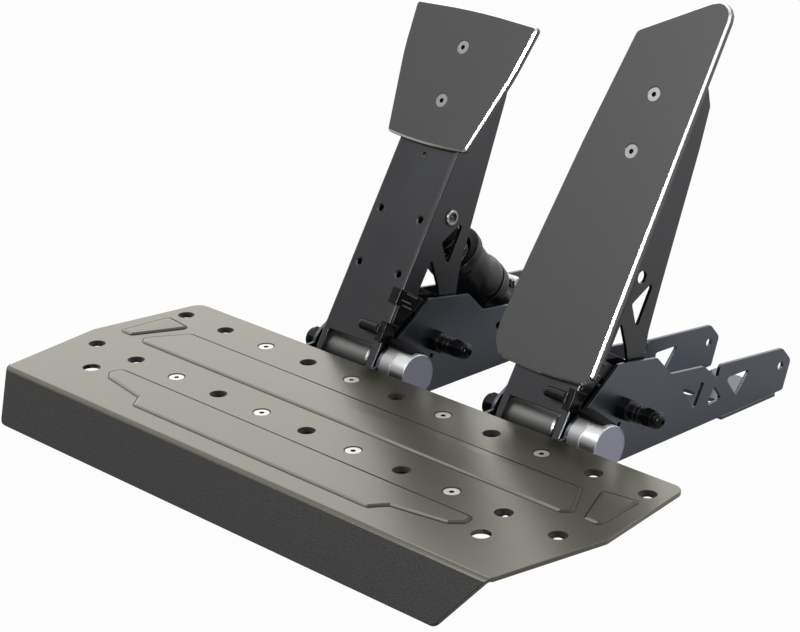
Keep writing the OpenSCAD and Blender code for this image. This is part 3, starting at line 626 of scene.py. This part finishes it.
# %% Damper bolt
BOLT = [(-32, 3.6), (-31.6, 4), (26.5, 4), (26.5, 5.6), (27.0, 5.6), (27.5, 5.0), (27.9, 4.7), (27.9, 3.5),
        (27.3, 2.9), (26.8, 1.2), (27.2, 0.8)]
RING_FROM = 27.62
bolt_place = across(MODULES["brake"], *CROSS_BOLT)
bolt = turned("brake_damper_bolt_turned", BOLT, bolt_place)
round_edges(bolt, 0.00008, 1)
dress(bolt, "brake_pedal", DARK_STEEL, "brake_damper_bolt", slot=SLOT_OF["brake_damper_bolt"])
paint(bolt, GREY_STEEL, lambda centre: (bolt_place.inverted() @ centre).z > RING_FROM)
print("bolt steps", len(BOLT))

# %% [markdown]
# The pedal plates are coated first and bevelled afterwards, so the bevel round the front is bare,
# bright metal. It is what draws the plates' outline in the picture. A bright line could be painted
# along the edge, but a bevel catches light by itself: the bevel operator gives its new faces the
# second finish. Two corners of the throttle's plate are rounder than in the CAD and are sliced first.

# %% Rounder corners for the throttle's plate
# Each corner: its circle's middle across and along the arm, its radius, and its arc in degrees.
ROUNDER = [(-30.9, 43.6, 15, 190, 262), (27.6, 37.0, 8.3, 281, 349)]
SLICE_DEGREES, CRUMB = 4, 0.00008


def round_corner(piece, place, centre_x, centre_s, radius, start, stop):
    """Rounds a corner more by slicing it along tangents of a larger circle."""
    for angle in range(start, stop + 1, SLICE_DEGREES):
        outward = Vector((math.cos(math.radians(angle)), 0, math.sin(math.radians(angle))))
        touch = place @ (Vector((centre_x, 0, centre_s)) + outward * radius)
        pick(piece)
        bpy.ops.object.mode_set(mode="EDIT")
        bpy.ops.mesh.select_all(action="SELECT")
        bpy.ops.mesh.bisect(plane_co=touch, plane_no=(place.to_3x3() @ outward).normalized(),
                            use_fill=True, clear_outer=True)
        bpy.ops.mesh.select_all(action="SELECT")
        bpy.ops.mesh.remove_doubles(threshold=CRUMB)
        bpy.ops.mesh.dissolve_limited(angle_limit=FLAT_WITHIN)
        bpy.ops.object.mode_set(mode="OBJECT")


pads = {module: merged_copy(module + "_pedal_plate", module + "_pedal_plate_finished")
        for module in MODULES}
for corner in ROUNDER:
    round_corner(pads["throttle"], arm_frame(MODULES["throttle"]), *corner)
print("throttle pad faces", len(pads["throttle"].data.polygons))

# %% Bare bevels of the pedal plates
BEVEL, AROUND_SCREW = 1.4, 7


def front_outline(piece, into_arm):
    """Chooses the edges of the front face that aren't the rim of a screw hole."""
    def on_outline(vertex):
        x, depth, s = into_arm @ piece.data.vertices[vertex].co
        in_hole = any(math.hypot(x, s - screw) < AROUND_SCREW for screw in PLATE_SCREWS)
        return abs(depth + PAD_THICK) < 0.02 and not in_hole
    return lambda edge: all(on_outline(vertex) for vertex in edge.vertices)


for module, piece in pads.items():
    node = module + "_pedal_plate"
    dress(piece, body_of(node), PEDAL_COAT, node, slot=SLOT_OF[node])
    piece.data.materials.append(BEVEL_METAL)
    choose(piece, "EDGE", front_outline(piece, arm_frame(MODULES[module]).inverted()))
    bpy.ops.mesh.bevel(offset=BEVEL * MM, segments=1, material=1, clamp_overlap=False)
    bpy.ops.object.mode_set(mode="OBJECT")
    round_edges(piece, 0.00012, 1)
    print(node, "faces", len(piece.data.polygons))

# %% [markdown]
# At the right end of each axle sits the angle sensor: a silver housing with a textured grip and a
# polished band, closed by a lavender-grey cap with a fine rim. The CAD's plain cylinders have the
# right size, but none of the steps that the light finds, so both are turned again.

# %% Angle sensors
SIDE = 30.9
GRIP_END, HOUSING_END = SIDE + 10.1, SIDE + 22.6
HOUSING = [(SIDE, 13.4), (SIDE + 0.5, 14.0), (GRIP_END - 0.6, 14.0), (GRIP_END - 0.2, 13.6),
           (GRIP_END + 0.2, 13.6), (GRIP_END + 0.5, 14.3), (HOUSING_END - 0.7, 14.3),
           (HOUSING_END, 13.9), (HOUSING_END, 13.7), (HOUSING_END - 2, 13.7)]
CAP = [(HOUSING_END - 2, 13.65), (HOUSING_END - 0.15, 13.65), (HOUSING_END - 0.02, 13.4),
       (HOUSING_END - 0.02, 12.9), (HOUSING_END - 0.2, 12.7)]
for module, x in MODULES.items():
    axle_place = across(x, *PIVOT)
    housing = turned(module + "_sensor_housing_turned", HOUSING, axle_place, 72)
    round_edges(housing, 0.00012, 2)
    dress(housing, "base", TURNED_SILVER, module + "_sensor_housing", slot="silver")
    paint(housing, POLISHED_SILVER, lambda centre, edge=(x + GRIP_END) * MM: centre.x > edge)
    cap = turned(module + "_sensor_cap_turned", CAP, axle_place, 72)
    round_edges(cap, 0.00006, 1)
    dress(cap, "base", CAP_PAINT, module + "_sensor_cap", slot="cap_grey")

# %% [markdown]
# Inside the arm the axle wears a grey spacer sleeve. It turns with the arm, and its right end is a
# bright turned shoulder. It is turned like the housing, with a second finish past the shoulder.

# %% Axle sleeves
SLEEVE = [(-24, 5.1), (-24, 9.7), (-23.7, 10), (14.6, 10), (15, 9.8), (16, 9), (16, 5.1), (15.2, 5.1)]
SHOULDER = 14.7
for module, x in MODULES.items():
    node = module + "_axle_sleeve"
    sleeve = turned(node + "_turned", SLEEVE, across(x, *PIVOT))
    round_edges(sleeve, 0.0001, 1)
    dress(sleeve, body_of(node), SLEEVE_METAL, node, slot="grey_sleeve")
    paint(sleeve, POLISHED_SILVER, lambda centre, edge=(x + SHOULDER) * MM: centre.x > edge)
print("sleeve steps", len(SLEEVE))

# %% [markdown]
# Behind each housing's rear top the side plate shows deep shade and a dark reflection. A black piece is put
# there as
# painted shade: a slice of a tube. An arc could be spun, but deleting part of a cylinder's wall is quicker:
# only the vertices between two angles stay, Solidify gives the thickness, the end by the cap tapers, and a
# bevel takes the sharp corners.

# %% Black pieces for the painted shade behind the sensors
SHADE_PIECE_FROM, SHADE_PIECE_TO = math.radians(-30), math.radians(100)
SHADE_PIECE_LONG, SHADE_PIECE_WALL, SHADE_PIECE_INSIDE = 19.0, 4.6, 14.5
OUTER_WALL, TAPERED = 16, 15.3


def outside_arc(vertex):
    return not SHADE_PIECE_FROM < math.atan2(vertex.co.y, vertex.co.x) < SHADE_PIECE_TO


for module, x in MODULES.items():
    bpy.ops.object.select_all(action="DESELECT")
    bpy.ops.mesh.primitive_cylinder_add(vertices=120, radius=SHADE_PIECE_INSIDE, depth=SHADE_PIECE_LONG,
                                        end_fill_type="NOTHING", location=(0, 0, 0))
    shade_piece = bpy.context.object
    shade_piece.name = module + "_sensor_shade_piece"
    choose(shade_piece, "VERT", outside_arc)
    bpy.ops.mesh.delete(type="VERT")
    bpy.ops.object.mode_set(mode="OBJECT")
    apply_modifier(shade_piece, "SOLIDIFY", thickness=SHADE_PIECE_WALL, offset=1.0)
    for vertex in shade_piece.data.vertices:
        radius = math.hypot(vertex.co.x, vertex.co.y)
        if radius > OUTER_WALL and vertex.co.z > 0:
            vertex.co.x, vertex.co.y = vertex.co.x * TAPERED / radius, vertex.co.y * TAPERED / radius
    placed(shade_piece, across(x, *PIVOT) @ Matrix.Translation((0, 0, SIDE + SHADE_PIECE_LONG / 2)))
    round_edges(shade_piece, 0.0006, 3)
    # Painted shade: a matte black piece where the side plate shows shade behind the housing.
    dress(shade_piece, "base", SHADE_PIECE_BLACK, slot="black_plastic")
    print(shade_piece.name, "faces", len(shade_piece.data.polygons))

# %% [markdown]
# The cable gland is a black fitting of four bodies on one axis: a hexagon against the side plate, a
# ribbed neck, the clamping nut, and a domed end with the cable's hole. A hexagon is only a turned
# piece with six sides, so one helper makes all four, and they are joined.

# %% Cable glands
GLAND = (160.0, 0.7)
NECK = [(28.5, 3.9), (31, 3.9), (35.8, 6.6), (36.6, 6.8), (37.6, 6.6), (38.0, 5.4), (41, 5.2), (41.4, 5.9),
        (42.6, 5.9), (43, 5.2), (44.4, 5.2), (44.8, 5.9), (46, 5.9), (46.4, 5.2), (48.9, 5.2), (49.4, 6.0)]
FOOT = [(SIDE, 7.8), (SIDE + 5, 7.8)]
NUT = [(SIDE + 18.4, 6.1), (SIDE + 19, 6.4), (SIDE + 24.4, 6.4), (SIDE + 25, 6.1)]
DOME = [(SIDE + 24, 5.2), (SIDE + 26.6, 5.2), (SIDE + 27, 5.5), (SIDE + 28.2, 5.3), (SIDE + 29.5, 4.6),
        (SIDE + 30.5, 3.4), (SIDE + 31, 2.0), (SIDE + 31, 1.5), (SIDE + 29, 1.4)]
for module, x in MODULES.items():
    parts = [turned("gland part", profile, across(x, *GLAND), sides)
             for profile, sides in ((NECK, 48), (FOOT, 6), (NUT, 6), (DOME, 48))]
    gland = joined(module + "_cable_gland_finished", *parts)
    round_edges(gland, 0.0003, 2)
    dress(gland, "base", BLACK_PLASTIC, module + "_cable_gland", slot="black_plastic")
    print(gland.name, "faces", len(gland.data.polygons))

# %% [markdown]
# Small black pieces sit on the right front edge of each arm: a glossy peg, and a clip. The clip's
# side has three ribs, painted a lighter grey as a painted highlight along them. They stand clear of it by
# less than a millimetre, which is more than a bump can show at a flat angle, so each is a small bar with
# rounded edges.

# %% Pegs, clips and their ribs
# Each rib: its height up the arm, and its two ends behind the arm's front.
RIBS = ((39.0, 3.4, 13.3), (42.0, 0.9, 10.8), (47.0, 3.4, 14.6))
RIB_FACE, RIB_THICK, RIB_TALL = 28.1, 0.5, 0.9
for node in ("brake_edge_peg", "brake_edge_pad", "throttle_edge_grips"):
    softened(node, PEG_PLASTIC, 0.0004, 3)
for module, x in MODULES.items():
    pieces = []
    for height, near, far in RIBS:
        bpy.ops.object.select_all(action="DESELECT")
        bpy.ops.mesh.primitive_cube_add(size=1, location=(0, 0, 0))
        rib = bpy.context.object
        rib.data.transform(Matrix.Diagonal((RIB_THICK, far - near, RIB_TALL, 1)))
        placed(rib, arm_frame(x) @ Matrix.Translation((RIB_FACE, (near + far) / 2, height)))
        pieces.append(rib)
    ribs = joined(module + "_clip_ribs", *pieces)
    round_edges(ribs, 0.0002, 2)
    # Painted highlight: the ribs are painted lighter than the black clip.
    dress(ribs, module + "_pedal", RIB_HIGHLIGHT_GREY, slot=SLOT_OF["brake_edge_pad"])
    print(ribs.name, "bars", len(RIBS))

# %% [markdown]
# A little screw holds each clip to the side of the arm. It is turned like the big round pieces: its
# own z looks out of the arm's side.

# %% Clip screws
CLIP_SCREW = [(27.6, 1.2), (27.7, 1.9), (28.0, 1.9), (28.2, 1.5), (28.2, 0.7), (27.8, 0.6)]
SCREW_BACK, SCREW_UP = 24.3, 43.5
SIDEWAYS = Matrix(((0, 0, 1, 0), (1, 0, 0, 0), (0, 1, 0, 0), (0, 0, 0, 1)))
for module, x in MODULES.items():
    place = arm_frame(x) @ Matrix.Translation((0, SCREW_BACK, SCREW_UP)) @ SIDEWAYS
    screw = turned(module + "_clip_screw", CLIP_SCREW, place, 24)
    round_edges(screw, 0.00008, 1)
    dress(screw, module + "_pedal", GREY_STEEL, slot="grey_screw")
    print(screw.name, "steps", len(CLIP_SCREW))

# %% [markdown]
# The free holes in the arms' faces look dark with a pale rim. They are read as pressed-in blind nuts
# for moving the pedal plate: a thin flange in the sheet's hole and a closed barrel behind it. A dark
# disc would look the same from in front, but the barrel also shows from behind.

# %% Blind nuts in the arms
FACE_HOLES = [(side, s) for side in (-18, 18) for s in (56.8, 94.5)]
BLIND_NUT = [(8.8, 2.1), (0.6, 2.1), (0.25, 2.4), (0.2, 2.88), (2.5, 2.88), (2.5, 4.2), (9.6, 4.2), (10, 3.8)]
OUT_OF_SHEET = Matrix(((1, 0, 0, 0), (0, 0, 1, 0), (0, -1, 0, 0), (0, 0, 0, 1)))
for module, x in MODULES.items():
    pieces = [turned("nut", BLIND_NUT, arm_frame(x) @ Matrix.Translation((side, 0, s)) @ OUT_OF_SHEET, 32)
              for side, s in FACE_HOLES]
    nuts = joined(module + "_arm_blind_nuts", *pieces)
    round_edges(nuts, 0.00008, 1)
    dress(nuts, module + "_pedal", DARK_STEEL, slot="grey_screw")
    print(nuts.name, len(FACE_HOLES))

# %% [markdown]
# The damper's shell is moulded in one piece: a thick rim, a waist, and a flare with a groove before
# the ring. It is turned here with the soft shoulders that its highlight shows, finer than the CAD's.

# %% Damper shell and ring
damper_place = damper_frame()
SHELL = [(58.9, 4.3), (56, 4.3), (56, 13.9), (45.2, 13.9), (44.6, 14.6), (44.6, 19.2), (45.0, 19.9),
         (45.8, 20.2), (50.4, 20.2), (51.6, 19.8), (54, 18.9), (56.6, 18.4), (60, 18.3), (67, 18.3),
         (70, 18.6), (73, 19.5), (76, 20.7), (78, 21.3), (80, 21.5), (81.4, 21.4), (82, 21.0),
         (82.1, 20.3), (83, 20.2)]
DAMPER_RING = [(83, 20.8), (83.2, 21.5), (83.8, 22), (90.3, 22), (91, 21.4), (91, 16.2)]
for node, name, profile, width in (
        ("brake_damper_body", "brake_damper_shell", SHELL, 0.00025),
        ("brake_damper_ring", "brake_damper_ring_turned", DAMPER_RING, 0.0002)):
    piece = turned(name, profile, damper_place, 72)
    round_edges(piece, width, 2)
    dress(piece, "brake_damper", SHELL_PLASTIC, node, slot="black_plastic")
    print(name, "faces", len(piece.data.polygons))

# %% [markdown]
# A coil spring is one round wire. A curve with a round bevel would do, but the Screw modifier gives
# a mesh at once: it sweeps a small circle round the axis and climbs one pitch per turn. The two cut
# ends are filled.

# %% Coiling
WIRE_SIDES, STEPS_PER_TURN = 12, 40


def coil(name, radius, wire, turns, low, high, place):
    bpy.ops.object.select_all(action="DESELECT")
    bpy.ops.mesh.primitive_circle_add(vertices=WIRE_SIDES, radius=wire, fill_type="NOTHING")
    spring = bpy.context.object
    spring.name = name
    spring.data.transform(Matrix.Translation((radius, 0, low + wire))
                          @ Matrix.Rotation(math.radians(90), 4, "X"))
    pitch = (high - low - 2 * wire) / turns
    apply_modifier(spring, "SCREW", screw_offset=pitch, iterations=turns, steps=STEPS_PER_TURN,
                   render_steps=STEPS_PER_TURN, use_merge_vertices=False)
    bpy.ops.object.mode_set(mode="EDIT")
    bpy.ops.mesh.select_all(action="SELECT")
    bpy.ops.mesh.remove_doubles(threshold=SAME_SPOT)
    bpy.ops.mesh.select_mode(type="EDGE")
    bpy.ops.mesh.select_all(action="DESELECT")
    bpy.ops.mesh.select_non_manifold()
    bpy.ops.mesh.edge_face_add()
    bpy.ops.mesh.select_all(action="SELECT")
    bpy.ops.mesh.normals_make_consistent(inside=False)
    bpy.ops.object.mode_set(mode="OBJECT")
    bpy.ops.object.shade_smooth()
    return placed(spring, place)


print("faces per turn", WIRE_SIDES * STEPS_PER_TURN)

# %% [markdown]
# Springs and rubbers shorten as a pedal goes down, and no body follows that. Here each of them
# only gets a mesh of its own.

# %% Springs and rubbers
damper_coil = coil("brake_damper_coil", 10, 1.1, 7, 30.05, 55.95, damper_place)
dress(damper_coil, "brake_damper", SPRING_WIRE, "brake_damper_spring", slot="spring_steel")
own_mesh(damper_coil)
return_coil = coil("throttle_return_coil", 7.5, 0.9, 6, -33.95, -6.65, upright(MODULES["throttle"], 162, 0))
dress(return_coil, "base", SPRING_WIRE, "throttle_return_spring", slot="spring_steel")
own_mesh(return_coil)
rubbers = softened("brake_damper_rubbers", RED_RUBBER, 0.0005, 3)
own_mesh(rubbers)
print("coil faces", len(damper_coil.data.polygons), len(return_coil.data.polygons))

# %% [markdown]
# The remaining fittings keep their CAD outline. Modelling them again would show nothing new: those
# that show get rounded edges here, and the rest only a finish in the next cell.

# %% Fittings with rounded edges
FITTINGS = {"brake_axle_nut": (BLACK_PLASTIC, 0.0006), "throttle_axle_nut": (BLACK_PLASTIC, 0.0006),
            "brake_damper_rod": (DARK_STEEL, 0.0003), "brake_load_cell": (BRIGHT_STEEL, 0.0004),
            "brake_load_cell_block": (BLACK_PLASTIC, 0.0008), "brake_damper_bolt_nut": (GREY_STEEL, 0.0004),
            "brake_damper_pin": (BRIGHT_STEEL, 0.0003), "controller_box": (BLACK_PLASTIC, 0.0008),
            "brake_rest_bar_screws": (BLACK_COAT_AND_SOCKET_SHADE, 0.0003), "throttle_rest_bar_screws": (BLACK_COAT_AND_SOCKET_SHADE, 0.0003)}
for node, (material, width) in FITTINGS.items():
    softened(node, material, width)
print("fittings", len(FITTINGS))

# %% Finishes of the pieces that keep their CAD shape
PLAIN = {"heel_plate_nuts": BRIGHT_STEEL, "brake_pedal_nuts": BRIGHT_STEEL,
         "brake_bracket_screws": BLACK_COAT_AND_SOCKET_SHADE, "throttle_spring_bar": BRIGHT_STEEL}
IN_BOTH = {"_axle": BRIGHT_STEEL, "_rest_bar": BRIGHT_STEEL, "_floor_screws": BLACK_COAT_AND_SOCKET_SHADE,
           "_axle_bushings": BRONZE, "_sensor_board": BOARD_GREEN, "_sensor_magnet": BRIGHT_STEEL,
           "_sensor_screws": BRIGHT_STEEL}
PLAIN.update({module + ending: material for module in MODULES for ending, material in IN_BOTH.items()})
for node, material in PLAIN.items():
    for held in frame["nodes"][node].material_slots:
        held.material = material
print("plain pieces", len(PLAIN))

# %% [markdown]
# The studio is plain: a pale floor in an even white room. More lamps would also make the floor white,
# but they would wash out the dark coats. So the floor glows only for the camera and for what mirrors
# it, and keeps the object's shadow. Its mirror image is brighter towards the right and the back, which
# lights the arms' flanks more than their fronts. Under the left half of the heel plate it doesn't
# glow, so that most open holes there look dark, as they do in the picture.

# %% Floor
FLOOR_SIZE, FLOOR_LEVEL = 8, -0.0002
# The mirror image's glow where it is dimmest, what it gains, and the places, in metres, between which
# it grows.
DIMMEST, GAIN, GROWS = 0.02, 0.55, (0.05, 0.75)
# The unlit patch under the heel plate, sideways and backwards: start, full, fading, stop.
PATCH_ACROSS, PATCH_ALONG = (-0.205, -0.195, 0.02, 0.04), (-0.19, -0.18, -0.045, -0.035)
WHITENESS = 0.97
bpy.ops.mesh.primitive_plane_add(size=FLOOR_SIZE, location=(0, 0, FLOOR_LEVEL))
floor = bpy.context.object
floor.name = "floor"
floor_material, bench, shader = finish("floor paper", Base_Color=(0.30, 0.30, 0.30), Roughness=0.9)
tree = floor_material.node_tree
path = tree.nodes.new("ShaderNodeLightPath")
mirrored = Wire(tree, path.outputs["Is Glossy Ray"]) + Wire(tree, path.outputs["Is Transmission Ray"])
glow = bench.node("ShaderNodeEmission", inputs={"Color": (1, 1, 1), "Strength": 1.0})
spot = tree.nodes.new("ShaderNodeSeparateXYZ")
tree.links.new(bench.node("ShaderNodeTexCoord", output="Object").socket, spot.inputs[0])
sideways, backwards = Wire(tree, spot.outputs["X"]), Wire(tree, spot.outputs["Y"])
right_back = bench.clamp(sideways * 0.69 + backwards * 0.72, *GROWS)
seen = Wire(tree, path.outputs["Is Camera Ray"]) + mirrored * (right_back * GAIN + DIMMEST)
covered = bench.between(sideways, *PATCH_ACROSS) * bench.between(backwards, *PATCH_ALONG)
share = seen * (1 - covered) * WHITENESS
blended = bench.node("ShaderNodeMixShader", inputs={0: share, 1: Wire(tree, shader.outputs[0]), 2: glow})
tree.links.new(blended.socket, tree.nodes["Material Output"].inputs["Surface"])
floor.data.materials.append(floor_material)
print("floor nodes", len(tree.nodes))

# %% [markdown]
# Dark metal is lit by what it mirrors. A grey room would leave it flat, so the room's strength runs
# from dim on the camera's side to bright behind the set. The camera itself sees plain white.

# %% Room
DIM, BRIGHT = 0.22, 1.25
world = bpy.data.worlds.new("studio")
bpy.context.scene.world = world
world.use_nodes = True
tree = world.node_tree
bench = Bench(tree)
parts = tree.nodes.new("ShaderNodeSeparateXYZ")
tree.links.new(bench.node("ShaderNodeTexCoord", output="Generated").socket, parts.inputs[0])
away = Wire(tree, parts.outputs["Y"]) * 0.7 - Wire(tree, parts.outputs["X"]) * 0.3
room = bench.node("ShaderNodeMapRange", {"interpolation_type": "SMOOTHSTEP"},
                  {"Value": away, "From Min": -0.5, "From Max": 0.5, "To Min": DIM, "To Max": BRIGHT})
lens_ray = Wire(tree, tree.nodes.new("ShaderNodeLightPath").outputs["Is Camera Ray"])
bench.feed(tree.nodes["Background"].inputs["Color"], (1, 1, 1))
bench.feed(tree.nodes["Background"].inputs["Strength"], lens_ray + (1 - lens_ray) * room)
print("room nodes", len(tree.nodes))

# %% [markdown]
# Four soft lamps shape the set: a key from the front left, a fill from the right, a rim light from
# behind, and a small one beside the camera that the bare bevels catch. Sun lamps would draw hard
# shadows that a product photograph avoids.

# %% Lamps
def lamp(name, place, target, width, watts):
    light = bpy.data.lights.new(name, "AREA")
    light.shape, light.size, light.energy = "SQUARE", width, watts
    holder = bpy.data.objects.new(name, light)
    bpy.context.scene.collection.objects.link(holder)
    holder.location = place
    holder.rotation_euler = (Vector(target) - Vector(place)).to_track_quat("-Z", "Y").to_euler()
    print(name, "lamp", watts, "W")


AIM = (0, 0, 0.1)
lamp("key", (-0.7, -1.3, 1.9), AIM, 1.2, 14)
lamp("fill", (1.6, -0.2, 1.3), AIM, 1.4, 5)
lamp("rim", (1.2, 1.4, 1.5), AIM, 1.0, 12)
lamp("edge", (1.12, -0.81, 0.67), AIM, 0.2, 7)

# %% [markdown]
# Looks mustn't change sizes.
